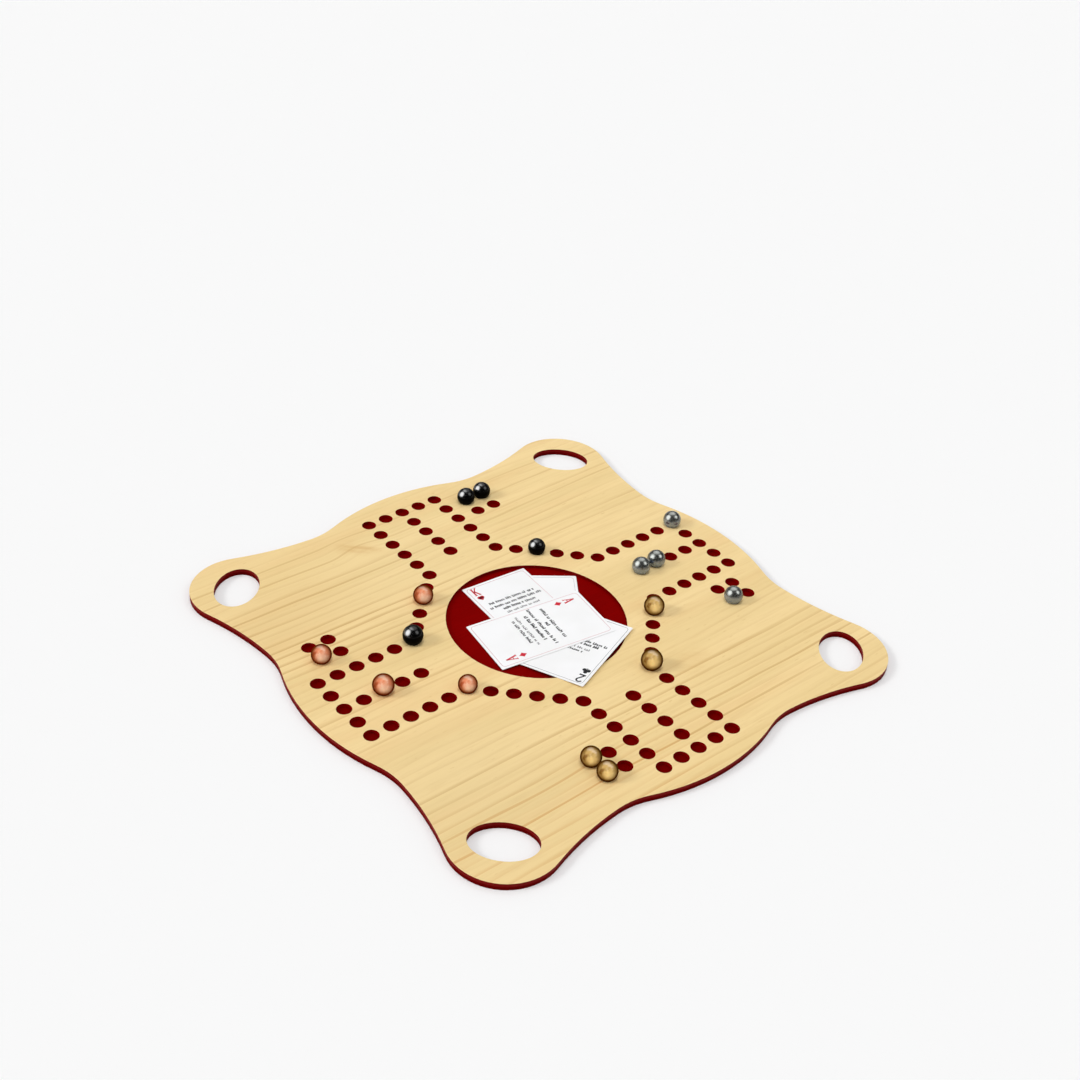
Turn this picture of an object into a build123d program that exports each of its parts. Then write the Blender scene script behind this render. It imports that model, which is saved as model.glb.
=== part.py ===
from build123d import *
import os
from math import atan2, cos, degrees, radians, sin, sqrt

os.makedirs("parts", exist_ok=True)

# A marble-and-card race game: a flat square board with a rounded lobe at each
# corner, sixteen marbles standing in its holes and four playing cards thrown
# into the round well in the middle. Millimetres, +Z up, origin on the underside
# of the board at its centre.

# Board sheets
base_thickness = 3.0
face_thickness = 3.0

# Lanes of marble holes: four arms, each with an end row, two side rows, a home
# row down its middle and a block of four starting holes on its right
hole_pitch = 18.0
hole_diameter = 12.5
lane_steps = 5
diagonal_steps = 5
half_lane_steps = 2
home_holes = 4
start_block_gap = 22.5

# Card well and hand holes
well_diameter = 150.0
hand_hole_length = 52.0
hand_hole_width = 36.4
hand_hole_shift = 4.8

# Board outline: a bulging side, a tight waist, a long flank and a corner lobe
side_margin = 27.0
side_radius = 181.0
side_half_angle = 20.6
waist_radius = 66.0
flank_radius = 258.0
lobe_radius = 43.2
lobe_inset = 42.8

# Marbles: the glass ones differ a little, the steel balls are alike
steel_marble_diameter = 16.0
glass_marble_diameters = {
    "black": (16.0, 15.8, 15.2, 17.0),
    "gold": (17.2, 17.8, 16.4, 16.2),
    "copper": (16.8, 16.4, 17.4, 15.4),
}
marble_clearance = 0.2

# Cards: the one on top is longer and narrower than the three under it
card_length = 88.0
card_width = 63.0
top_card_length = 106.0
top_card_width = 61.5
card_thickness = 0.3
card_corner_radius = 0.8
card_rim_gap = 0.5
top_card_rim_gap = 4.6
card_clearance = 0.15

# How each card lies: the turn of its long axis from +Y, counter-clockwise, and
# how far its middle lies to one side of the board's centre
under_card_turn = 53.9
under_card_sideways = 6.8
heart_card_turn = 84.9
heart_card_sideways = 1.0
club_card_turn = 20.7
club_card_sideways = -12.0
club_card_edge_inset = 2.0
diamond_card_turn = 170.3
diamond_card_sideways = -12.0

# Sizes that follow from these
board_top = base_thickness + face_thickness
hole_radius = hole_diameter / 2
lane_half_width = half_lane_steps * hole_pitch
inner_corner = lane_half_width + diagonal_steps * hole_pitch / sqrt(2)
end_row_distance = inner_corner + lane_steps * hole_pitch
half_width = end_row_distance + side_margin
lobe_offset = half_width - lobe_inset
well_radius = well_diameter / 2
start_block_offset = lane_half_width + start_block_gap


def heading(direction):
    """The compass of a vector in plan: degrees counter-clockwise from +X."""
    return degrees(atan2(direction.Y, direction.X))


def from_heading(length, angle):
    """A vector in plan of this length and this heading."""
    return Vector(length * cos(radians(angle)), length * sin(radians(angle)))


def draw_outline():
    """Draw the board's outline in the open sketch, with its four hand holes.

    One eighth of the outline is four arcs, each tangent to the next. The flank's
    centre is where two circles meet: one about the waist's centre and one about
    the lobe's centre.
    """
    side_centre = Vector(half_width - side_radius, 0)
    waist_centre = side_centre + from_heading(side_radius + waist_radius, side_half_angle)
    lobe_centre = Vector(lobe_offset, lobe_offset)
    waist_to_lobe = lobe_centre - waist_centre
    waist_to_flank = flank_radius - waist_radius
    lobe_to_flank = flank_radius + lobe_radius
    span = waist_to_lobe.length
    corner = (span**2 + waist_to_flank**2 - lobe_to_flank**2) / (2 * span * waist_to_flank)
    waist_end = heading(waist_to_lobe) - degrees(atan2(sqrt(1 - corner**2), corner))
    flank_centre = waist_centre + from_heading(waist_to_flank, waist_end)
    flank_end = heading(flank_centre - lobe_centre)
    diagonal = Plane(origin=(0, 0, 0), z_dir=(1, -1, 0))
    with BuildLine() as rim:
        CenterArc(side_centre, side_radius, 0, side_half_angle)
        CenterArc(waist_centre, waist_radius, 180 + side_half_angle, waist_end - side_half_angle)
        CenterArc(flank_centre, flank_radius, 180 + waist_end, flank_end - waist_end)
        CenterArc(lobe_centre, lobe_radius, flank_end, 45 - flank_end)
        mirror(about=diagonal)
        mirror(about=Plane.YZ)
        mirror(about=Plane.XZ)
    make_face(rim.edges())
    with PolarLocations(lobe_centre.length + hand_hole_shift, 4, start_angle=45):
        Ellipse(hand_hole_width / 2, hand_hole_length / 2, mode=Mode.SUBTRACT)


def arm_point(arm, outward, rightward):
    """A point in plan: this far out along an arm, and this far to its right."""
    return Vector(outward, -rightward).rotate(Axis.Z, 90 * arm)


def end_hole(arm, step):
    """A hole of an arm's end row, counted from its middle."""
    return arm_point(arm, end_row_distance, step * hole_pitch)


def side_hole(arm, side, step):
    """A hole of an arm's left (-1) or right (1) row, counted in from the end row."""
    return arm_point(arm, end_row_distance - step * hole_pitch, side * lane_half_width)


def home_hole(arm, step):
    """A hole of the home row down an arm's middle, counted in from the end row."""
    return arm_point(arm, end_row_distance - step * hole_pitch, 0)


def start_hole(arm, row, column):
    """A hole of the starting block on an arm's right."""
    outward = end_row_distance - (1 + row) * hole_pitch
    return arm_point(arm, outward, start_block_offset + column * hole_pitch)


def diagonal_hole(arm, step):
    """A hole of the diagonal row from an arm's right inner corner to the next arm."""
    outward = inner_corner - step * hole_pitch / sqrt(2)
    return arm_point(arm, outward, lane_half_width + step * hole_pitch / sqrt(2))


def arm_holes(arm):
    """Every hole of one arm and of the diagonal row on its right."""
    holes = [end_hole(arm, step) for step in range(-half_lane_steps, half_lane_steps + 1)]
    holes += [side_hole(arm, side, step) for side in (-1, 1) for step in range(1, lane_steps + 1)]
    holes += [home_hole(arm, step) for step in range(1, home_holes + 1)]
    holes += [start_hole(arm, row, column) for row in (0, 1) for column in (0, 1)]
    holes += [diagonal_hole(arm, step) for step in range(1, diagonal_steps)]
    return holes


# The base sheet closes the holes and the well from below
with BuildPart() as base_sheet:
    with BuildSketch():
        draw_outline()
    extrude(amount=base_thickness)
base_sheet.part.label = "base_sheet"
export_step(base_sheet.part, "parts/base_sheet.step")

# The face sheet lies on the base sheet and is cut right through at the holes and the well
with BuildPart() as face_sheet:
    with BuildSketch(Plane.XY.offset(base_thickness)):
        draw_outline()
        Circle(well_radius, mode=Mode.SUBTRACT)
        with Locations(*[hole for arm in range(4) for hole in arm_holes(arm)]):
            Circle(hole_radius, mode=Mode.SUBTRACT)
    extrude(amount=face_thickness)
face_sheet.part.label = "face_sheet"
export_step(face_sheet.part, "parts/face_sheet.step")


def marble_centre_height(diameter):
    """A marble sits on its hole's rim, or on the hole's floor if it meets that first."""
    radius = diameter / 2
    on_rim = board_top + sqrt(max(radius**2 - hole_radius**2, 0))
    on_floor = base_thickness + radius
    return max(on_rim, on_floor) + marble_clearance


# The holes in which the marbles of each colour stand
marble_holes = {
    "black": (start_hole(2, 0, 0), start_hole(2, 0, 1), diagonal_hole(2, 2), side_hole(3, 1, 5)),
    "steel": (end_hole(1, -2), home_hole(1, 3), home_hole(1, 4), start_hole(1, 1, 1)),
    "gold": (diagonal_hole(1, 1), side_hole(0, -1, 5), start_hole(0, 1, 1), start_hole(0, 0, 1)),
    "copper": (diagonal_hole(3, 3), start_hole(3, 0, 0), home_hole(3, 2), side_hole(3, -1, 5)),
}
marble_diameters = {"steel": (steel_marble_diameter,) * 4, **glass_marble_diameters}
for colour, holes in marble_holes.items():
    for number, (hole, diameter) in enumerate(zip(holes, marble_diameters[colour]), start=1):
        with BuildPart() as marble:
            with Locations((hole.X, hole.Y, marble_centre_height(diameter))):
                Sphere(diameter / 2)
        marble.part.label = f"{colour}_marble_{number}"
        export_step(marble.part, f"parts/{marble.part.label}.step")


def beside_rim(turn, sideways, length, width, rim_gap):
    """The middle of a card whose head end has its outer corner this near the well's rim."""
    corner_radius = well_radius - rim_gap
    head_distance = sqrt(corner_radius**2 - (width / 2 + abs(sideways)) ** 2)
    along = from_heading(head_distance - length / 2, turn + 90)
    return along + from_heading(sideways, turn)


def card_point(middle, turn, right, ahead):
    """A point in plan: this far right of and ahead of a card's middle."""
    return middle + from_heading(right, turn) + from_heading(ahead, turn + 90)


def at_height(point, height):
    """A plan point raised to a height."""
    return Vector(point.X, point.Y, height)


def height_on(plane, point):
    """The height of a plane above a plan point."""
    offset = point - plane.origin
    normal = plane.z_dir
    return plane.origin.Z - (normal.X * offset.X + normal.Y * offset.Y) / normal.Z


def plane_on(first, second, third, middle, turn):
    """The plane of a card that rests on three points, with its origin at the card's middle."""
    normal = (second - first).cross(third - first)
    resting = Plane(origin=first, z_dir=normal if normal.Z > 0 else -normal)
    origin = at_height(middle, height_on(resting, middle))
    return Plane(origin=origin, x_dir=from_heading(1, turn), z_dir=resting.z_dir)


def crossing(start, direction, other_start, other_direction):
    """Where two lines in plan cross."""
    offset = other_start - start
    turned = offset.X * other_direction.Y - offset.Y * other_direction.X
    return start + direction * (turned / (direction.X * other_direction.Y - direction.Y * other_direction.X))


def draw_card(length, width):
    """Draw one playing card in the open sketch."""
    RectangleRounded(width, length, card_corner_radius)


# The blank card lies flat on the well's floor, with one corner near the rim
under_card_middle = beside_rim(
    under_card_turn, under_card_sideways, card_length, card_width, card_rim_gap
)
under_card_plane = Plane(
    origin=at_height(under_card_middle, base_thickness), x_dir=from_heading(1, under_card_turn)
)
with BuildPart() as under_card:
    with BuildSketch(under_card_plane):
        draw_card(card_length, card_width)
    extrude(amount=card_thickness)
under_card.part.label = "under_card"
export_step(under_card.part, "parts/under_card.step")

# The heart card lies on the blank card, with its head end across the well like a chord
heart_card_middle = beside_rim(
    heart_card_turn, heart_card_sideways, card_length, card_width, card_rim_gap
)
heart_card_height = base_thickness + card_thickness
heart_card_plane = Plane(
    origin=at_height(heart_card_middle, heart_card_height), x_dir=from_heading(1, heart_card_turn)
)
with BuildPart() as heart_card:
    with BuildSketch(heart_card_plane):
        draw_card(card_length, card_width)
    extrude(amount=card_thickness)
heart_card.part.label = "heart_card"
export_step(heart_card.part, "parts/heart_card.step")

# The club card leans: its inner long edge lies on the heart card, and its foot
# end crosses the well's rim and rests on it
club_card_reach = well_radius - club_card_edge_inset - card_width / 2
club_card_middle = card_point(Vector(0, 0), club_card_turn, club_card_reach, club_card_sideways)
club_card_foot = card_length / 2 - club_card_sideways
rim_reach = sqrt(well_radius**2 - club_card_foot**2)
rim_point = card_point(Vector(0, 0), club_card_turn, rim_reach, -club_card_foot)
inner_edge = [
    card_point(club_card_middle, club_card_turn, -card_width / 2, ahead)
    for ahead in (-card_length / 2, card_length / 2)
]
inner_edge_height = heart_card_height + card_thickness + card_clearance
club_card_plane = plane_on(
    at_height(inner_edge[0], inner_edge_height),
    at_height(inner_edge[1], inner_edge_height),
    at_height(rim_point, board_top + card_clearance),
    club_card_middle,
    club_card_turn,
)
with BuildPart() as club_card:
    with BuildSketch(club_card_plane):
        draw_card(card_length, card_width)
    extrude(amount=card_thickness)
club_card.part.label = "club_card"
export_step(club_card.part, "parts/club_card.step")

# The diamond card lies on top: one corner on the well's floor, one corner on the
# club card, and one long edge on the club card's foot end
diamond_card_middle = beside_rim(
    diamond_card_turn, diamond_card_sideways, top_card_length, top_card_width, top_card_rim_gap
)
floor_corner = card_point(
    diamond_card_middle, diamond_card_turn, top_card_width / 2, top_card_length / 2
)
club_corner = card_point(
    diamond_card_middle, diamond_card_turn, -top_card_width / 2, -top_card_length / 2
)
edge_crossing = crossing(
    club_corner,
    from_heading(1, diamond_card_turn + 90),
    rim_point,
    from_heading(1, club_card_turn),
)
on_club_card = card_thickness + card_clearance
diamond_card_plane = plane_on(
    at_height(floor_corner, base_thickness + card_clearance),
    at_height(club_corner, height_on(club_card_plane, club_corner) + on_club_card),
    at_height(edge_crossing, height_on(club_card_plane, edge_crossing) + on_club_card),
    diamond_card_middle,
    diamond_card_turn,
)
with BuildPart() as diamond_card:
    with BuildSketch(diamond_card_plane):
        draw_card(top_card_length, top_card_width)
    extrude(amount=card_thickness)
diamond_card.part.label = "diamond_card"
export_step(diamond_card.part, "parts/diamond_card.step")
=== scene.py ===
import math
import random

import bmesh
import bpy
import numpy as np
from mathutils import Matrix, Quaternion, Vector


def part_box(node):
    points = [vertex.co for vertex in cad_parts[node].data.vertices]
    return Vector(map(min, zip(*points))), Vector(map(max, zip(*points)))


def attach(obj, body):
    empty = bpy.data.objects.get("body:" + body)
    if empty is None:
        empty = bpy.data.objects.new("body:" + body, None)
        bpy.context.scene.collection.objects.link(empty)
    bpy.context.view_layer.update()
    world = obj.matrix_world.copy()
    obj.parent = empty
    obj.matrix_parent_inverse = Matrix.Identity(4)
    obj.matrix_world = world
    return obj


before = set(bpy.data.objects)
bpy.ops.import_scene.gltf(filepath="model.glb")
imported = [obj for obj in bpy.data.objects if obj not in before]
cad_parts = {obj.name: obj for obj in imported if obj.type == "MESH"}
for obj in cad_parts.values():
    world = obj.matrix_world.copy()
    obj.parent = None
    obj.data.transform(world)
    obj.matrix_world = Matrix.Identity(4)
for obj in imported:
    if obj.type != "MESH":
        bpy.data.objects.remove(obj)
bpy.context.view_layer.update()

# Camera: in front of the board and above it, with a lens a little longer than
# normal, rolled so that the board's right-hand corner stands higher in the picture.
camera_place = Vector((0.72048, -0.66255, 0.77190))
camera_aim = Vector((-0.08500, 0.07463, 0.00633))
camera_roll = 4.436
camera_lens = 50.166

camera_data = bpy.data.cameras.new("camera")
camera_data.lens = camera_lens
camera_data.sensor_width = 36.0
camera_data.clip_start = 0.05
camera_data.clip_end = 100.0
camera = bpy.data.objects.new("camera", camera_data)
bpy.context.scene.collection.objects.link(camera)
camera.rotation_mode = "QUATERNION"
camera.location = camera_place
roll = Quaternion((0, 0, 1), math.radians(camera_roll))
camera.rotation_quaternion = (camera_aim - camera_place).to_track_quat("-Z", "Y") @ roll
bpy.context.scene.camera = camera
bpy.context.scene.view_settings.view_transform = "Standard"


# Studio floor: a plain pale sweep under the board. It is a shade darker than the
# white that the camera sees, so that it still shows the soft shadow of the board.
def add_node(tree, kind, inputs=None, **settings):
    """A shader node with its settings made, and its inputs set or linked."""
    node = tree.nodes.new(kind)
    for name, value in settings.items():
        setattr(node, name, value)
    for name, value in (inputs or {}).items():
        if isinstance(value, bpy.types.NodeSocket):
            tree.links.new(value, node.inputs[name])
        else:
            node.inputs[name].default_value = value
    return node


def new_material(name):
    material = bpy.data.materials.new(name)
    material.use_nodes = True
    material.node_tree.nodes.clear()
    return material, material.node_tree


def close_material(tree, sockets):
    """End a material in one Principled shader with these sockets."""
    shader = add_node(tree, "ShaderNodeBsdfPrincipled", sockets)
    add_node(tree, "ShaderNodeOutputMaterial", {"Surface": shader.outputs[0]})


def calculate(tree, operation, first, second=0.0, third=0.0):
    inputs = {0: first, 1: second, 2: third}
    return add_node(tree, "ShaderNodeMath", inputs, operation=operation).outputs[0]


def product(tree, first, *others):
    for other in others:
        first = calculate(tree, "MULTIPLY", first, other)
    return first


def greatest(tree, first, *others):
    for other in others:
        first = calculate(tree, "MAXIMUM", first, other)
    return first


def share_seen(tree):
    """1 where a surface is seen straight, mirrored or through glass, 0 where it only sheds light."""
    rays = add_node(tree, "ShaderNodeLightPath").outputs
    return greatest(tree, rays["Is Camera Ray"], rays["Is Glossy Ray"], rays["Is Transmission Ray"])


floor_tone = 0.80
floor_glow = 0.162
floor_half_side = 40.0

floor_material, tree = new_material("studio_floor")
close_material(
    tree,
    {
        "Base Color": (floor_tone, floor_tone, floor_tone, 1.0),
        "Roughness": 0.9,
        "Specular IOR Level": 0.0,
        "Emission Color": (1.0, 1.0, 1.0, 1.0),
        "Emission Strength": product(tree, share_seen(tree), floor_glow),
    },
)
bm = bmesh.new()
bmesh.ops.create_grid(bm, x_segments=1, y_segments=1, size=floor_half_side)
floor_mesh = bpy.data.meshes.new("studio_floor")
bm.to_mesh(floor_mesh)
bm.free()
floor_mesh.materials.append(floor_material)
floor = bpy.data.objects.new("studio_floor", floor_mesh)
bpy.context.scene.collection.objects.link(floor)


# Studio surroundings: even white light from all round and a pale backdrop. Glossy
# things see three soft panels of light under a dark ceiling.
def remap(tree, value, low, high, to_low=0.0, to_high=1.0, smooth=True):
    inputs = {"Value": value, "From Min": low, "From Max": high, "To Min": to_low, "To Max": to_high}
    kind = "SMOOTHSTEP" if smooth else "LINEAR"
    return add_node(tree, "ShaderNodeMapRange", inputs, interpolation_type=kind).outputs["Result"]


def heading_share(tree, vector, heading, low, high, most=1.0):
    """How near a direction is to a heading: 0 up to the cosine low, most from the cosine high."""
    inputs = {0: vector, 1: Vector(heading).normalized()}
    nearness = add_node(tree, "ShaderNodeVectorMath", inputs, operation="DOT_PRODUCT")
    return remap(tree, nearness.outputs["Value"], low, high, 0.0, most)


sky_light = 0.42
backdrop_tone = 0.947
ceiling_tone = 0.02
backdrop_top = 0.02
ceiling_edge = 0.18
panel_core = 0.5
panel_fade = 1.4
window_heading = Vector((-0.420, -0.720, 0.552))
right_heading = Vector((0.545, 0.436, 0.716))
back_heading = Vector((-0.409, 0.349, 0.843))
top_heading = Vector((0.0, 0.0, 1.0))

world = bpy.data.worlds.new("studio")
world.use_nodes = True
bpy.context.scene.world = world
tree = world.node_tree
tree.nodes.clear()
direction = add_node(tree, "ShaderNodeTexCoord").outputs["Generated"]
height = add_node(tree, "ShaderNodeSeparateXYZ", {"Vector": direction}).outputs["Z"]
reflected = remap(tree, height, backdrop_top, ceiling_edge, backdrop_tone, ceiling_tone, smooth=False)
for heading, half_width, panel_glow in (
    (window_heading, 26.0, 6.0),
    (right_heading, 16.0, 5.4),
    (back_heading, 27.0, 3.0),
):
    outside = math.cos(math.radians(panel_fade * half_width))
    inside = math.cos(math.radians(panel_core * half_width))
    panel = heading_share(tree, direction, heading, outside, inside, panel_glow)
    reflected = calculate(tree, "ADD", reflected, panel)
mirrored = add_node(tree, "ShaderNodeLightPath").outputs["Is Glossy Ray"]
shown = add_node(tree, "ShaderNodeMix", {"Factor": mirrored, "A": backdrop_tone, "B": reflected})
inputs = {"Factor": share_seen(tree), "A": sky_light, "B": shown.outputs["Result"]}
strength = add_node(tree, "ShaderNodeMix", inputs).outputs["Result"]
background = add_node(tree, "ShaderNodeBackground", {"Color": (1.0, 1.0, 1.0, 1.0), "Strength": strength})
add_node(tree, "ShaderNodeOutputWorld", {"Surface": background.outputs["Background"]})
# the panels show only in glossy things, so no ray is aimed at them
world.cycles.sampling_method = "NONE"

# Studio lamps: the window light on the left, which throws the short shadows to the
# right of the marbles, two weaker panels behind the board and a wide one overhead.
# Each is far away and wide, so it lights the floor evenly and its shadows are soft.
for name, heading, width, strength in (
    ("window_lamp", window_heading, 16.0, 1.05),
    ("right_panel", right_heading, 12.0, 0.16),
    ("back_panel", back_heading, 20.0, 0.16),
    ("top_panel", top_heading, 24.0, 0.94),
):
    lamp_data = bpy.data.lights.new(name, "SUN")
    lamp_data.angle = math.radians(width)
    lamp_data.energy = strength
    lamp = bpy.data.objects.new(name, lamp_data)
    lamp.rotation_mode = "QUATERNION"
    lamp.rotation_quaternion = (-heading).to_track_quat("-Z", "Y")
    lamp.visible_camera = False
    lamp.visible_glossy = False
    bpy.context.scene.collection.objects.link(lamp)


# Base sheet: a thin wooden board sheet stained deep red all over, glued under the
# face sheet. It shows as the floor of the card well and of every marble hole.
def open_group(name, outputs, inputs=()):
    """A shader node group with its sockets, and its two end nodes to link to."""
    group = bpy.data.node_groups.new(name, "ShaderNodeTree")
    for socket, kind in inputs:
        group.interface.new_socket(socket, in_out="INPUT", socket_type=kind)
    for socket, kind in outputs:
        group.interface.new_socket(socket, in_out="OUTPUT", socket_type=kind)
    return group, group.nodes.new("NodeGroupInput").outputs, group.nodes.new("NodeGroupOutput").inputs


def object_place(tree):
    return add_node(tree, "ShaderNodeTexCoord").outputs["Object"]


def vector_length(tree, vector):
    return add_node(tree, "ShaderNodeVectorMath", {0: vector}, operation="LENGTH").outputs["Value"]


def stretched_noise(tree, vector, scale, detail=2.0, roughness=0.5):
    mapping = add_node(tree, "ShaderNodeMapping", {"Vector": vector, "Scale": scale}, vector_type="POINT")
    inputs = {"Vector": mapping.outputs[0], "Scale": 1.0, "Detail": detail, "Roughness": roughness}
    return add_node(tree, "ShaderNodeTexNoise", inputs).outputs["Fac"]


def blend_colours(tree, factor, first, second):
    return add_node(tree, "ShaderNodeMix", {0: factor, 6: first, 7: second}, data_type="RGBA").outputs[2]


def bump_normal(tree, height, strength, distance):
    inputs = {"Height": height, "Strength": strength, "Distance": distance}
    return add_node(tree, "ShaderNodeBump", inputs).outputs["Normal"]


def from_display(red, green, blue):
    """A colour given in 0 to 255 as a screen shows it, as Blender's linear colour."""
    linear = []
    for value in (red, green, blue):
        share = value / 255
        linear.append(share / 12.92 if share <= 0.04045 else ((share + 0.055) / 1.055) ** 2.4)
    return (*linear, 1.0)


hole_pitch = 0.018
holes_from = (4.5 * hole_pitch, 4.6 * hole_pitch)
stain_colour = from_display(128, 0, 0)
stain_dark_colour = from_display(116, 0, 0)
hole_stain_colour = from_display(106, 0, 0)

# the stain soaks unevenly into the wood: fine streaks along the grain and slow clouds
stain_group, _, result = open_group(
    "red_stain", [("Color", "NodeSocketColor"), ("Height", "NodeSocketFloat")]
)
place = object_place(stain_group)
streaks = stretched_noise(stain_group, place, (900.0, 60.0, 400.0), 3.0, 0.6)
clouds = stretched_noise(stain_group, place, (45.0, 20.0, 45.0), 2.0)
soaked = product(stain_group, remap(stain_group, streaks, 0.35, 0.7), 0.5)
soaked = calculate(stain_group, "MULTIPLY_ADD", remap(stain_group, clouds, 0.35, 0.7), 0.4, soaked)
stain_group.links.new(blend_colours(stain_group, soaked, stain_colour, stain_dark_colour), result["Color"])
stain_group.links.new(streaks, result["Height"])

base_material, tree = new_material("red_stained_wood")
stain = add_node(tree, "ShaderNodeGroup", node_tree=stain_group)
# in the narrow holes the stain is darker than in the wide well
in_holes = remap(tree, vector_length(tree, object_place(tree)), *holes_from)
close_material(
    tree,
    {
        "Base Color": blend_colours(tree, in_holes, stain.outputs["Color"], hole_stain_colour),
        "Roughness": 0.6,
        "Specular IOR Level": 0.01,
        "Normal": bump_normal(tree, stain.outputs["Height"], 0.15, 0.0001),
    },
)
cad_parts["base_sheet"].material_slots[0].material = base_material

# Face sheet: a sheet with a clear-lacquered pine face, its grain running along Y. The
# marble holes, the card well and the outline are cut through it, and the cut edges
# are stained red like the base sheet.
pine_middle = from_display(238, 210, 151)
pine_pale = from_display(246, 218, 160)
pine_warm = from_display(238, 203, 145)
pine_line = from_display(208, 167, 106)
pine_warm_line = from_display(216, 164, 98)
pine_clear = from_display(240, 215, 160)
pine_shade = from_display(222, 190, 132)
pine_grey = from_display(222, 199, 148)
knot_brown = from_display(206, 154, 88)
pine_top_height = 0.00597
cut_edge_colour = from_display(128, 0, 0)
painted_light_wall_colour = from_display(158, 0, 0)
holes_to = 11.0 * hole_pitch
ring_scale = 1.85
ring_randomness = 0.75
line_strength = 0.85
glint_strength = 0.6
front_boldness = 1.25

grain_group, inside, result = open_group(
    "pine_grain",
    [
        ("Line", "NodeSocketFloat"),
        ("Glint", "NodeSocketFloat"),
        ("Tone", "NodeSocketFloat"),
        ("Fibre", "NodeSocketFloat"),
        ("Fleck", "NodeSocketFloat"),
    ],
    [("Vector", "NodeSocketVector")],
)
tree = grain_group
vector = inside["Vector"]
across = add_node(tree, "ShaderNodeSeparateXYZ", {"Vector": vector}).outputs["X"]
# the growth lines wander slowly and tremble a little on their way along the board
wander = stretched_noise(tree, vector, (0.10, 0.035, 0.1), 2.0)
tremble = stretched_noise(tree, vector, (1.1, 0.16, 1.0), 1.0)
across = calculate(tree, "MULTIPLY_ADD", wander, 1.6, across)
across = calculate(tree, "MULTIPLY_ADD", tremble, 0.30, across)
# uneven rings: each is a cell in a row, dark against its next neighbour on the right
ring_inputs = {"W": across, "Scale": ring_scale, "Randomness": ring_randomness}
ring, ring_edge = (
    add_node(tree, "ShaderNodeTexVoronoi", ring_inputs, voronoi_dimensions="1D", feature=feature)
    for feature in ("F1", "DISTANCE_TO_EDGE")
)
edge = ring_edge.outputs["Distance"]
right_half = calculate(tree, "GREATER_THAN", across, ring.outputs["W"])
left_half = calculate(tree, "SUBTRACT", 1.0, right_half)
ring_random = add_node(tree, "ShaderNodeSeparateColor", {"Color": ring.outputs["Color"]})
boldness = calculate(tree, "MULTIPLY_ADD", ring_random.outputs["Red"], 0.75, 0.25)
along_fade = remap(tree, stretched_noise(tree, vector, (1.3, 0.09, 1.3), 1.0), 0.30, 0.60, 0.25, 1.0)
boldness = product(tree, boldness, along_fade)
dark_side = remap(tree, edge, 0.02, 0.44, 1.0, 0.0)
bright_side = remap(tree, edge, 0.0, 0.28, 1.0, 0.0)
tree.links.new(product(tree, dark_side, right_half, boldness), result["Line"])
tree.links.new(product(tree, bright_side, left_half, boldness), result["Glint"])
tree.links.new(stretched_noise(tree, vector, (0.55, 0.05, 0.5), 2.0), result["Tone"])
tree.links.new(stretched_noise(tree, vector, (6.5, 0.45, 6.5), 3.0, 0.6), result["Fibre"])
fleck = remap(tree, stretched_noise(tree, vector, (9.0, 1.6, 9.0), 1.0), 0.70, 0.80)
tree.links.new(fleck, result["Fleck"])

board_reach = 12.0


def profile_across(tree, value, points):
    """A curve over the board's width, in hole pitches from its middle."""
    across_board = remap(tree, value, -board_reach, board_reach, smooth=False)
    ramp = add_node(tree, "ShaderNodeValToRGB", {"Fac": across_board})
    stops = ramp.color_ramp.elements
    for stop, (position, level) in zip(stops, (points[0], points[-1])):
        stop.position = (position + board_reach) / (2 * board_reach)
        stop.color = (level, level, level, 1.0)
    for position, level in points[1:-1]:
        stop = stops.new((position + board_reach) / (2 * board_reach))
        stop.color = (level, level, level, 1.0)
    return ramp.outputs["Color"]


def turned(tree, vector, degrees):
    """The same places, read along axes that are turned about Z."""
    inputs = {"Vector": vector, "Rotation": (0.0, 0.0, math.radians(degrees))}
    return add_node(tree, "ShaderNodeMapping", inputs, vector_type="TEXTURE").outputs[0]


def near_point(tree, vector, x, y, reach_x, reach_y, turn=0.0):
    """A soft oval spot about a point in hole pitches: 1 at its middle, 0 outside it."""
    inputs = {
        "Vector": vector,
        "Location": (x, y, 0.0),
        "Rotation": (0.0, 0.0, math.radians(turn)),
        "Scale": (reach_x, reach_y, 0.0),
    }
    mapping = add_node(tree, "ShaderNodeMapping", inputs, vector_type="TEXTURE")
    return remap(tree, vector_length(tree, mapping.outputs[0]), 0.0, 1.0, 1.0, 0.0)


face_material, tree = new_material("pine_face")
place = object_place(tree)
inputs = {0: place, 3: 1.0 / hole_pitch}
pitches = add_node(tree, "ShaderNodeVectorMath", inputs, operation="SCALE").outputs[0]
place_xyz = add_node(tree, "ShaderNodeSeparateXYZ", {"Vector": place})
pitch_xyz = add_node(tree, "ShaderNodeSeparateXYZ", {"Vector": pitches})
# a small knot at the left draws the lines aside
knot = near_point(tree, pitches, -9.2, -3.3, 1.5, 2.2, -25.0)
knot_shift = add_node(tree, "ShaderNodeCombineXYZ", {"X": product(tree, knot, 0.30)})
inputs = {0: pitches, 1: knot_shift.outputs[0]}
drawn_aside = add_node(tree, "ShaderNodeVectorMath", inputs, operation="ADD").outputs[0]
grain = add_node(tree, "ShaderNodeGroup", {"Vector": drawn_aside}, node_tree=grain_group)
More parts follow.
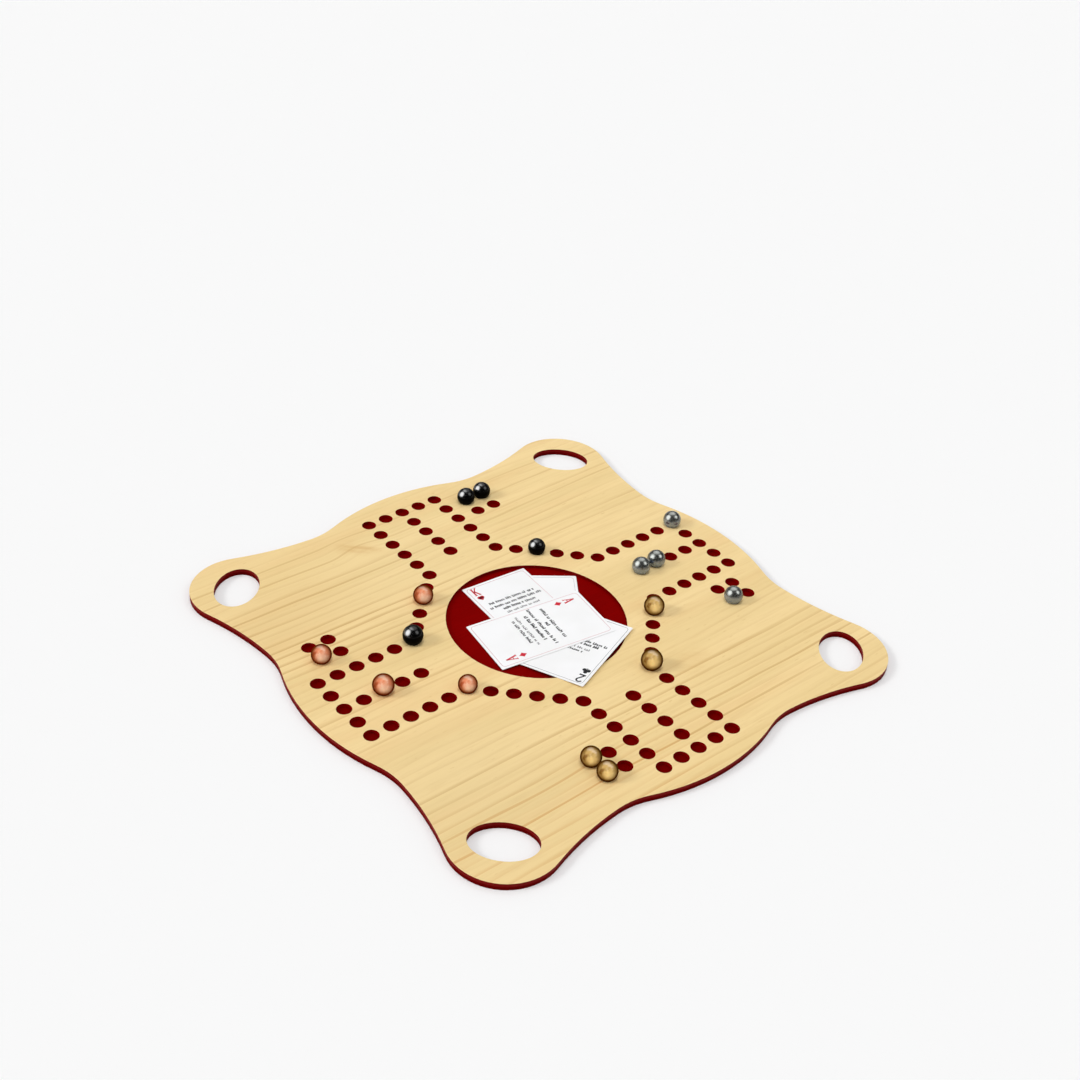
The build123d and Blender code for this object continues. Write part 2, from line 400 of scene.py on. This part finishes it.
# how bold the lines are over the board's width, at the front and at the back
front = profile_across(
    tree,
    pitch_xyz.outputs["X"],
    (
        (-12.0, 0.3), (-10.4, 0.55), (-8.8, 0.7), (-6.3, 1.0), (-4.0, 1.0), (-2.4, 0.75),
        (0.4, 0.5), (1.0, 0.12), (2.4, 0.12), (2.65, 0.6), (2.9, 0.12), (3.8, 0.2),
        (5.5, 0.52), (8.0, 0.9), (12.0, 1.0),
    ),
)
back = profile_across(
    tree,
    pitch_xyz.outputs["X"],
    (
        (-12.0, 0.4), (-8.0, 0.65), (-5.5, 0.65), (-3.5, 0.4), (-2.0, 0.10), (2.2, 0.08),
        (3.0, 0.25), (4.8, 0.35), (6.0, 0.85), (9.0, 1.0), (12.0, 0.6),
    ),
)
front_to_back = remap(tree, pitch_xyz.outputs["Y"], -2.0, 2.0)
inputs = {"Factor": front_to_back, "A": product(tree, front, front_boldness), "B": back}
contrast = add_node(tree, "ShaderNodeMix", inputs).outputs["Result"]
# the left arm's wood is plainer than the rest
plain_arm = near_point(tree, pitches, -7.5, 0.8, 5.0, 4.2)
contrast = product(tree, contrast, calculate(tree, "MULTIPLY_ADD", plain_arm, -0.55, 1.0))
tone = remap(tree, grain.outputs["Tone"], 0.35, 0.65)
warmth = remap(tree, stretched_noise(tree, pitches, (0.9, 0.07, 0.9), 2.0), 0.50, 0.72)
pine = blend_colours(tree, tone, pine_middle, pine_pale)
pine = blend_colours(tree, product(tree, warmth, 0.5), pine, pine_warm)
# at the front right the lines are orange-brown, elsewhere a greyer tan
warm_lines = calculate(tree, "SUBTRACT", 1.0, front_to_back)
warm_lines = product(tree, warm_lines, remap(tree, pitch_xyz.outputs["X"], 6.5, 9.5))
line_colour = blend_colours(tree, warm_lines, pine_line, pine_warm_line)
lines = product(tree, grain.outputs["Line"], contrast, line_strength)
pine = blend_colours(tree, lines, pine, line_colour)
glints = product(tree, grain.outputs["Glint"], contrast, glint_strength)
pine = blend_colours(tree, glints, pine, pine_pale)
pine = blend_colours(tree, remap(tree, grain.outputs["Fibre"], 0.45, 0.75, 0.0, 0.16), pine, pine_line)
pine = blend_colours(tree, product(tree, grain.outputs["Fleck"], 0.35), pine, pine_line)
# broad patches: clearer at the left, darker at the front left, greyer at the front right
for x, y, reach_x, reach_y, share, colour in (
    (-7.0, -2.0, 7.0, 7.0, 0.40, pine_clear),
    (-6.5, -9.5, 4.8, 7.0, 0.32, pine_shade),
    (7.0, -9.0, 7.0, 8.0, 0.28, pine_grey),
):
    patch = product(tree, near_point(tree, pitches, x, y, reach_x, reach_y), share)
    pine = blend_colours(tree, patch, pine, colour)
# the knot's slanting smear, and a smudge by the gold lane
smear_turn = -41.0
slant = turned(tree, pitches, smear_turn)
strokes = remap(tree, stretched_noise(tree, slant, (3.0, 0.7, 1.0), 2.0), 0.38, 0.62, 0.35, 1.0)
smear = greatest(
    tree,
    near_point(tree, pitches, -9.1, -3.5, 0.65, 1.5, smear_turn),
    product(tree, near_point(tree, pitches, -9.6, -3.9, 0.8, 0.9), 0.6),
)
smudge = product(tree, near_point(tree, pitches, 6.3, 3.7, 1.0, 1.5), 0.55)
marks = product(tree, greatest(tree, smear, smudge), strokes, 0.50)
pine = blend_colours(tree, marks, pine, knot_brown)
stain = add_node(tree, "ShaderNodeGroup", node_tree=stain_group)
on_top = calculate(tree, "GREATER_THAN", place_xyz.outputs["Z"], pine_top_height)
cut_edge = blend_colours(tree, 0.5, stain.outputs["Color"], cut_edge_colour)
# the bored walls of the marble holes, all within a ring about the well, are painted lighter red, painted
# light that lifts the shade inside the holes
from_middle = vector_length(tree, place)
within_ring = calculate(tree, "LESS_THAN", from_middle, holes_to)
painted_wall_light = product(tree, remap(tree, from_middle, *holes_from), within_ring)
cut_edge = blend_colours(tree, painted_wall_light, cut_edge, painted_light_wall_colour)
relief = calculate(tree, "SUBTRACT", grain.outputs["Fibre"], product(tree, grain.outputs["Line"], 0.6))
close_material(
    tree,
    {
        "Base Color": blend_colours(tree, on_top, cut_edge, pine),
        "Roughness": remap(tree, grain.outputs["Fibre"], 0.3, 0.7, 0.46, 0.58),
        "Specular IOR Level": 0.06,
        "Normal": bump_normal(tree, relief, 0.10, 0.0002),
    },
)
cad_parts["face_sheet"].material_slots[0].material = face_material

# Black marbles: opaque black glass. Each is glossy on the upper half, most of all on
# one side, and dull below from rolling, so it mirrors next to nothing of the board.
marble_numbers = (1, 2, 3, 4)
black_glass = (0.0005, 0.0005, 0.0005, 1.0)
worn_black_glass = (0.002, 0.002, 0.002, 1.0)
polished_side = Vector((0.10, -0.70, 0.70))


def place_on_ball(tree, node):
    """The place on a marble, from its middle and in radii of it."""
    low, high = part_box(node)
    radius = (high.z - low.z) / 2
    inputs = {"Vector": object_place(tree), "Location": (low + high) / 2, "Scale": (radius, radius, radius)}
    return add_node(tree, "ShaderNodeMapping", inputs, vector_type="TEXTURE").outputs[0]


for number in marble_numbers:
    node = f"black_marble_{number}"
    black_material, tree = new_material(f"{node}_glass")
    ball = place_on_ball(tree, node)
    scuffs = remap(tree, stretched_noise(tree, ball, (3.0, 3.0, 1.1), 4.0, 0.65), 0.55, 0.75)
    depth = stretched_noise(tree, ball, (1.3, 1.3, 1.3), 2.0)
    upper = heading_share(tree, ball, top_heading, 0.26, 0.50)
    polished = heading_share(tree, ball, polished_side, 0.74, 0.97)
    gloss = calculate(tree, "MULTIPLY_ADD", polished, 0.88, 0.12)
    unscuffed = calculate(tree, "MULTIPLY_ADD", scuffs, -0.08, 1.0)
    close_material(
        tree,
        {
            "Base Color": blend_colours(tree, depth, black_glass, worn_black_glass),
            "Roughness": calculate(tree, "MULTIPLY_ADD", scuffs, 0.08, 0.40),
            "Specular IOR Level": 0.02,
            "Coat Weight": product(tree, gloss, unscuffed, upper),
            "Coat Roughness": 0.17,
            "Coat IOR": 2.2,
        },
    )
    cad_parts[node].material_slots[0].material = black_material

# Steel balls: ground bearing steel, satin rather than mirror bright and clouded by
# handling. The half towards the board is painted lighter and bluer, painted colour that
# cancels the board's warm reflection in it, so the top looks darker.
board_height = 0.006
ball_height = 0.015
steel_grey = from_display(116, 118, 115)
clouded_grey = from_display(106, 108, 105)
painted_underside_grey = from_display(142, 155, 180)

steel_material, tree = new_material("ground_steel")
place = object_place(tree)
clouding = remap(tree, stretched_noise(tree, place, (240.0, 240.0, 240.0), 3.0), 0.40, 0.70)
steel = blend_colours(tree, clouding, steel_grey, clouded_grey)
rise = add_node(tree, "ShaderNodeSeparateXYZ", {"Vector": place}).outputs["Z"]
# painted reflection offset: below about half the ball's height the steel is painted lighter and bluer
blue_below = board_height + 0.40 * ball_height
grey_above = board_height + 0.55 * ball_height
painted_underside = remap(tree, rise, blue_below, grey_above, 1.0, 0.0)
close_material(
    tree,
    {
        "Base Color": blend_colours(tree, painted_underside, steel, painted_underside_grey),
        "Metallic": 0.82,
        "Roughness": calculate(tree, "MULTIPLY_ADD", clouding, 0.05, 0.24),
    },
)
for number in marble_numbers:
    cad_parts[f"steel_marble_{number}"].material_slots[0].material = steel_material

# Gold marbles: amber glass with brown clouds. Its pale top is a painted highlight, and
# its bright side is painted light that passes through the glass, given off as a little
# light of its own. The dark outline, where it is seen edge-on, is painted shade.
# painted highlight: the pale top of each marble
painted_highlight_spots = (((0.25, -0.12, 0.96), 0.88, 1.06),)
# painted light: the bright sides, where light passing through the glass would come out
painted_glow_spots = (((0.90, -0.34, 0.28), 0.62, 1.08), ((-0.80, 0.30, 0.20), 0.50, 1.0))
cloud_spots = (
    ((0.00, -0.84, 0.56), 0.84, 1.06),
    ((0.78, 0.15, 0.62), 0.80, 1.40),
    ((-0.55, 0.70, 0.45), 0.78, 1.0),
)
fold_width = 0.8

core_group, inside, result = open_group(
    "glass_core",
    [
        ("PaintedHighlight", "NodeSocketFloat"),
        ("PaintedGlow", "NodeSocketFloat"),
        ("Cloud", "NodeSocketFloat"),
        ("Streak", "NodeSocketFloat"),
    ],
    [("Ball", "NodeSocketVector")],
)
# the glass was folded while it was soft, so no spot is quite round
ball = inside["Ball"]
fold = add_node(core_group, "ShaderNodeTexNoise", {"Vector": ball, "Scale": 1.6, "Detail": 2.0})
inputs = {0: fold.outputs["Color"], 1: [fold_width] * 3, 2: ball}
folded = add_node(core_group, "ShaderNodeVectorMath", inputs, operation="MULTIPLY_ADD").outputs[0]
inputs = {0: folded, 1: [fold_width / 2] * 3}
folded = add_node(core_group, "ShaderNodeVectorMath", inputs, operation="SUBTRACT").outputs[0]
for name, spots in (("PaintedHighlight", painted_highlight_spots), ("PaintedGlow", painted_glow_spots), ("Cloud", cloud_spots)):
    shares = [heading_share(core_group, folded, *spot) for spot in spots]
    core_group.links.new(greatest(core_group, *shares), result[name])
streak = remap(core_group, stretched_noise(core_group, folded, (2.4, 2.4, 1.0), 3.0, 0.55), 0.40, 0.70)
core_group.links.new(streak, result["Streak"])


def glass_marble(node, body, streak, painted_glow, cloud, painted_highlight, edge):
    """Clouded glass, its pattern centred on one marble, with painted light on it and painted shade at its
    outline.
    """
    material, tree = new_material(f"{node}_glass")
    core = add_node(tree, "ShaderNodeGroup", {"Ball": place_on_ball(tree, node)}, node_tree=core_group)
    colour = blend_colours(tree, product(tree, core.outputs["Streak"], 0.5), body, streak)
    colour = blend_colours(tree, core.outputs["PaintedGlow"], colour, painted_glow)
    colour = blend_colours(tree, core.outputs["Cloud"], colour, cloud)
    colour = blend_colours(tree, core.outputs["PaintedHighlight"], colour, painted_highlight)
    facing = add_node(tree, "ShaderNodeLayerWeight", {"Blend": 0.5}).outputs["Facing"]
    # painted shade: the outline, seen edge-on, turns to the dark edge colour
    painted_outline_shade = remap(tree, facing, 0.10, 0.54, smooth=False)
    colour = blend_colours(tree, painted_outline_shade, colour, edge)
    # painted light: the marble gives off a little light of its own colour, most on its bright side
    painted_glow_emission = calculate(tree, "MULTIPLY_ADD", core.outputs["PaintedGlow"], 0.10, 0.02)
    close_material(
        tree,
        {
            "Base Color": colour,
            "Emission Color": blend_colours(tree, painted_glow_emission, (0.0, 0.0, 0.0, 1.0), colour),
            "Emission Strength": 1.0,
            "Roughness": remap(tree, core.outputs["Streak"], 0.0, 1.0, 0.28, 0.36),
            "IOR": 1.5,
            "Specular IOR Level": 0.0,
            "Coat Weight": remap(tree, painted_outline_shade, 0.0, 0.6, 0.15, 0.0),
            "Coat Roughness": 0.18,
        },
    )
    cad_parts[node].material_slots[0].material = material


for number in marble_numbers:
    glass_marble(
        f"gold_marble_{number}",
        body=from_display(214, 175, 104),
        streak=from_display(182, 142, 74),
        painted_glow=from_display(255, 220, 146),
        cloud=from_display(138, 96, 34),
        painted_highlight=from_display(250, 220, 178),
        edge=from_display(76, 42, 4),
    )

# Copper marbles: the same make of marble as the gold ones, pressed from peach glass
# with copper clouds folded into it.
# the copper marbles carry the same painted highlight, painted light and painted outline shade
for number in marble_numbers:
    glass_marble(
        f"copper_marble_{number}",
        body=from_display(244, 154, 112),
        streak=from_display(222, 120, 78),
        painted_glow=from_display(255, 208, 176),
        cloud=from_display(190, 90, 50),
        painted_highlight=from_display(255, 210, 180),
        edge=from_display(96, 36, 4),
    )


# Blank card: coated white card stock. Only one corner of it shows, with the end of
# a thin grey border. The stock is the same for all four cards.
def card_place(node, heading):
    """Where a card lies: its top face's middle, with X and Y along the reading directions."""
    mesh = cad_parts[node].data
    points = np.array([v.co for v in mesh.vertices], float).reshape(-1, 3)
    middle = (points.min(0) + points.max(0)) / 2
    axes = np.linalg.svd(points - points.mean(0), full_matrices=False)[2]
    normal = Vector(axes[2]) * (1.0 if axes[2][2] > 0 else -1.0)
    ahead = Vector((math.cos(math.radians(heading)), math.sin(math.radians(heading)), 0.0))
    up = Vector(axes[0]) * (1.0 if Vector(axes[0]).dot(ahead) > 0 else -1.0)
    up.normalize()
    normal.normalize()
    right = up.cross(normal)
    top = max((points - middle) @ np.array(normal))
    matrix = Matrix((right, up, normal)).transposed().to_4x4()
    matrix.translation = Vector(middle) + normal * top
    return matrix


card_white = from_display(248, 248, 249)
aged_white = from_display(244, 244, 244)

card_material, tree = new_material("card_stock")
place = object_place(tree)
laid = stretched_noise(tree, place, (1500.0, 1500.0, 1500.0), 2.0)
ageing = remap(tree, stretched_noise(tree, place, (30.0, 30.0, 30.0), 2.0), 0.35, 0.75)
close_material(
    tree,
    {
        "Base Color": blend_colours(tree, ageing, card_white, aged_white),
        "Roughness": remap(tree, laid, 0.3, 0.7, 0.42, 0.50),
        "Specular IOR Level": 0.2,
        "Normal": bump_normal(tree, laid, 0.12, 0.00005),
    },
)
for node in ("under_card", "heart_card", "club_card", "diamond_card"):
    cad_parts[node].material_slots[0].material = card_material

millimetre = 0.001
ink_thickness = 0.02


def ink(name, colour, worn_colour):
    """Printing ink, a little uneven where the press pressed less."""
    material, tree = new_material(name)
    noise = stretched_noise(tree, object_place(tree), (900.0, 900.0, 900.0), 2.0)
    unevenness = remap(tree, noise, 0.45, 0.75)
    close_material(
        tree,
        {
            "Base Color": blend_colours(tree, unevenness, colour, worn_colour),
            "Roughness": remap(tree, unevenness, 0.0, 1.0, 0.45, 0.55),
            "Specular IOR Level": 0.15,
        },
    )
    return material


def print_on(card, part, bm, place, material):
    """Raise flat print drawn in millimetres by the ink's thickness and lay it on its card."""
    raised = bmesh.ops.extrude_face_region(bm, geom=bm.faces[:])
    tops = [v for v in raised["geom"] if isinstance(v, bmesh.types.BMVert)]
    bmesh.ops.translate(bm, verts=tops, vec=(0.0, 0.0, ink_thickness))
    bmesh.ops.recalc_face_normals(bm, faces=bm.faces[:])
    bmesh.ops.transform(bm, matrix=place @ Matrix.Scale(millimetre, 4), verts=bm.verts[:])
    mesh = bpy.data.meshes.new(f"{card}_{part}")
    bm.to_mesh(mesh)
    bm.free()
    mesh.materials.append(material)
    piece = bpy.data.objects.new(f"{card}_{part}", mesh)
    bpy.context.scene.collection.objects.link(piece)
    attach(piece, card)


border_inset = 2.2
border_width = 0.45
border_radius = 3.0


def draw_border(card_width, card_length):
    """A thin line with rounded corners, a little inside the card's edge."""
    bm = bmesh.new()
    bmesh.ops.create_grid(bm, x_segments=1, y_segments=1, size=0.5)
    size = Vector((card_width - 2 * border_inset, card_length - 2 * border_inset, 1.0))
    bmesh.ops.scale(bm, vec=size, verts=bm.verts[:])
    bmesh.ops.bevel(
        bm,
        geom=bm.verts[:],
        offset=border_radius,
        offset_type="OFFSET",
        segments=6,
        profile=0.5,
        affect="VERTICES",
        material=-1,
    )
    bmesh.ops.inset_region(
        bm, faces=bm.faces[:], thickness=border_width, use_even_offset=True, use_boundary=True
    )
    inner = max(bm.faces, key=lambda face: face.calc_area())
    bmesh.ops.delete(bm, geom=[inner], context="FACES")
    return bm


card_width = 63.0
card_length = 88.0
under_heading = 143.9
grey_line = ink("grey_line_ink", from_display(196, 197, 199), from_display(214, 214, 214))
under_place = card_place("under_card", under_heading)
print_on("under_card", "border", draw_border(card_width, card_length), under_place, grey_line)


# Heart card: the same stock printed with a red king's index and heart in two opposite
# corners, a thin red border, and rows of small writing that can't be read.
def bar(bm, start, end, width):
    """A straight stroke of the pen, drawn flat."""
    along = Vector(end) - Vector(start)
    made = bmesh.ops.create_grid(bm, x_segments=1, y_segments=1, size=0.5)["verts"]
    bmesh.ops.scale(bm, vec=(along.length, width, 1.0), verts=made)
    turn = Matrix.Rotation(math.atan2(along.y, along.x), 4, "Z")
    middle = (Vector(start) + Vector(end)) / 2
    bmesh.ops.transform(bm, matrix=Matrix.Translation((*middle, 0.0)) @ turn, verts=made)


def disc(bm, x, y, radius):
    """A round blot."""
    place = Matrix.Translation((x, y, 0.0))
    bmesh.ops.create_circle(bm, cap_ends=True, segments=24, radius=radius, matrix=place)


rank_height = 10.2
rank_width = 6.4
king_strokes = (
    ((1.5, 0.2), (1.5, 10.0), 1.5),
    ((5.2, 9.9), (1.8, 4.5), 1.0),
    ((2.6, 6.0), (5.3, 0.3), 1.5),
    ((0.2, 0.25), (2.8, 0.25), 0.5),
    ((0.2, 9.95), (2.8, 9.95), 0.5),
    ((4.2, 9.95), (6.2, 9.95), 0.5),
    ((4.2, 0.25), (6.4, 0.25), 0.5),
)


def draw_heart(bm):
    """A heart: a square on its corner and a round on each of its upper sides."""
    side = 3.7
    bmesh.ops.create_circle(bm, cap_ends=True, segments=4, radius=side / math.sqrt(2))
    for way in (-1, 1):
        disc(bm, way * side / math.sqrt(8), side / math.sqrt(8), side / 2)


def draw_index(strokes, draw_pip, index_x, rank_y, pip_y):
    """Rank and suit in the card's top-left corner, and the same turned round in the opposite one."""
    bm = bmesh.new()
    for start, end, width in strokes:
        bar(bm, start, end, width)
    shift = (index_x - rank_width / 2, rank_y - rank_height / 2, 0.0)
    bmesh.ops.translate(bm, verts=bm.verts[:], vec=shift)
    rank_verts = set(bm.verts)
    draw_pip(bm)
    pip_verts = [v for v in bm.verts if v not in rank_verts]
    bmesh.ops.translate(bm, verts=pip_verts, vec=(index_x, pip_y, 0.0))
    copy = bmesh.ops.duplicate(bm, geom=bm.verts[:] + bm.edges[:] + bm.faces[:])["geom"]
    copy_verts = [v for v in copy if isinstance(v, bmesh.types.BMVert)]
    bmesh.ops.rotate(bm, verts=copy_verts, cent=(0, 0, 0), matrix=Matrix.Rotation(math.pi, 3, "Z"))
    return bm


letter_pitch = 1.8
word_gap = 0.6 * letter_pitch
fewest_letters = 2
most_letters = 7
letter_heights = (1.0, 1.0, 1.35)
link_levels = (-0.35, 0.0, 0.35)
link_thinness = 0.8


def draw_words(rows, seed):
    """Rows of ticks and links in word-long groups, as handwriting looks when it can't be read."""
    bm = bmesh.new()
    dice = random.Random(seed)
    for level, start, end, height, tick_width in rows:
        x = start
        foot = level - height / 2
        while x < end - letter_pitch / 2:
            room = max(1, round((end - x) / letter_pitch))
            letters = min(dice.randint(fewest_letters, most_letters), room)
            for letter in range(letters):
                rise = height * dice.choice(letter_heights)
                bar(bm, (x, foot), (x, foot + rise), tick_width)
                if letter < letters - 1:
                    link = level + height * dice.choice(link_levels)
                    link_end = x + letter_pitch - tick_width / 2
                    bar(bm, (x + tick_width / 2, link), (link_end, link), link_thinness * tick_width)
                x += letter_pitch
            x += word_gap
    return bm


red_ink = ink("red_ink", from_display(196, 28, 48), from_display(206, 52, 70))
red_line = ink("red_line_ink", from_display(214, 176, 180), from_display(226, 194, 197))
grey_ink = ink("grey_ink", from_display(40, 40, 42), from_display(66, 66, 68))
pale_ink = ink("pale_grey_ink", from_display(112, 110, 112), from_display(140, 138, 140))


def print_writing(card, place, rows, seed, pale_rows, pale_seed):
    """Rows of writing, each given as its level, its start and end, its height and its pen's width."""
    print_on(card, "words", draw_words(rows, seed), place, grey_ink)
    print_on(card, "pale_words", draw_words(pale_rows, pale_seed), place, pale_ink)


heart_heading = 174.9
heart_rows = (
    (15.4, -21.7, 15.5, 2.2, 1.0),
    (9.8, -24.3, 27.1, 2.2, 1.0),
    (4.2, 7.0, 18.2, 2.1, 0.9),
    (15.2, 16.6, 23.4, 2.3, 1.2),
    (4.6, -14.4, 6.2, 2.3, 1.2),
)
heart_pale_rows = ((-0.8, -14.3, 18.6, 1.9, 0.85), (-6.3, -18.0, 16.0, 1.9, 0.85))
heart_place = card_place("heart_card", heart_heading)
print_on("heart_card", "border", draw_border(card_width, card_length), heart_place, red_line)
heart_index = draw_index(king_strokes, draw_heart, index_x=-23.2, rank_y=35.6, pip_y=25.9)
print_on("heart_card", "index", heart_index, heart_place, red_ink)
print_writing("heart_card", heart_place, heart_rows, 3, heart_pale_rows, 4)

# Club card: the same stock printed with a black two's index and club in two opposite
# corners, a thin grey border and rows of small writing that can't be read.
two_strokes = (
    ((5.0, 6.6), (1.2, 1.0), 1.3),
    ((0.4, 0.8), (5.9, 0.8), 1.6),
)
bow_x = 3.0
bow_y = 7.4
bow_radius = 2.2
bow_width = 1.3
bow_start = 165.0
bow_sweep = -195.0


def draw_club(bm):
    """A club: three rounds on a flared stalk."""
    for x, y, radius in ((0.0, 1.7, 1.75), (-1.85, -0.8, 1.75), (1.85, -0.8, 1.75), (0.0, 0.0, 1.1)):
        disc(bm, x, y, radius)
    bar(bm, (0.0, 0.0), (0.0, -3.0), 0.7)
    bar(bm, (-1.2, -2.9), (1.2, -2.9), 0.4)


def draw_bow(bm, centre, turn):
    """The two's upper bow: a short line across the stroke, spun about the bow's centre."""
    start = math.radians(bow_start + turn)
    first = Vector((math.cos(start), math.sin(start), 0.0))
    ends = [bm.verts.new(centre + first * (bow_radius + way * bow_width / 2)) for way in (-1, 1)]
    bmesh.ops.spin(
        bm,
        geom=[*ends, bm.edges.new(ends)],
        cent=centre,
        axis=(0, 0, 1),
        angle=math.radians(bow_sweep),
        steps=14,
        use_merge=False,
    )


club_heading = 110.7
club_index_x = -24.6
club_rank_y = 35.6
club_rows = (
    (8.9, -20.0, 26.4, 2.2, 1.0),
    (4.9, -17.0, 21.1, 2.3, 1.2),
    (-5.2, -14.0, 11.9, 2.1, 0.95),
)
club_pale_rows = ((-1.2, -16.0, 16.8, 1.9, 0.85),)
black_ink = ink("black_ink", from_display(18, 18, 20), from_display(46, 46, 50))
dark_line = ink("dark_line_ink", from_display(150, 150, 153), from_display(176, 176, 178))
club_place = card_place("club_card", club_heading)
print_on("club_card", "border", draw_border(card_width, card_length), club_place, dark_line)
club_index = draw_index(two_strokes, draw_club, index_x=club_index_x, rank_y=club_rank_y, pip_y=25.4)
bow_centre = Vector((club_index_x - rank_width / 2 + bow_x, club_rank_y - rank_height / 2 + bow_y, 0.0))
draw_bow(club_index, bow_centre, 0.0)
draw_bow(club_index, -bow_centre, 180.0)
print_on("club_card", "index", club_index, club_place, black_ink)
print_writing("club_card", club_place, club_rows, 8, club_pale_rows, 9)

# Diamond card: the card on top, longer and narrower than the others, printed with a
# red ace's index and diamond, a thin red border and rows of writing that can't be read.
ace_strokes = (
    ((1.0, 0.2), (3.2, 9.7), 0.9),
    ((5.3, 0.2), (3.2, 9.7), 1.5),
    ((1.8, 3.4), (4.6, 3.4), 0.8),
    ((0.0, 0.25), (2.1, 0.25), 0.5),
    ((4.1, 0.25), (6.4, 0.25), 0.5),
)
diamond_half_width = 2.8
diamond_half_height = 3.6
diamond_draw_in = 0.63


def draw_diamond(bm):
    """A diamond with sides that draw in a little."""
    made = bmesh.ops.create_circle(bm, cap_ends=True, segments=8, radius=1.0)["verts"]
    side_middles = [v for v in made if abs(v.co.x) > 0.1 and abs(v.co.y) > 0.1]
    bmesh.ops.scale(bm, vec=(diamond_draw_in, diamond_draw_in, 1.0), verts=side_middles)
    bmesh.ops.scale(bm, vec=(diamond_half_width, diamond_half_height, 1.0), verts=made)


top_card_width = 61.5
top_card_length = 106.0
diamond_heading = 80.3
diamond_rows = (
    (12.7, -22.4, 19.6, 2.2, 1.0),
    (7.7, -4.8, 1.0, 2.3, 1.25),
    (2.2, -26.4, 22.5, 2.2, 1.0),
    (-3.8, -19.8, 15.8, 2.3, 1.2),
    (-16.1, -18.4, 13.6, 2.1, 0.95),
)
diamond_pale_rows = ((-11.4, -22.0, 18.5, 1.9, 0.75),)
diamond_place = card_place("diamond_card", diamond_heading)
print_on("diamond_card", "border", draw_border(top_card_width, top_card_length), diamond_place, red_line)
diamond_index = draw_index(ace_strokes, draw_diamond, index_x=-22.0, rank_y=40.0, pip_y=29.3)
print_on("diamond_card", "index", diamond_index, diamond_place, red_ink)
print_writing("diamond_card", diamond_place, diamond_rows, 5, diamond_pale_rows, 6)
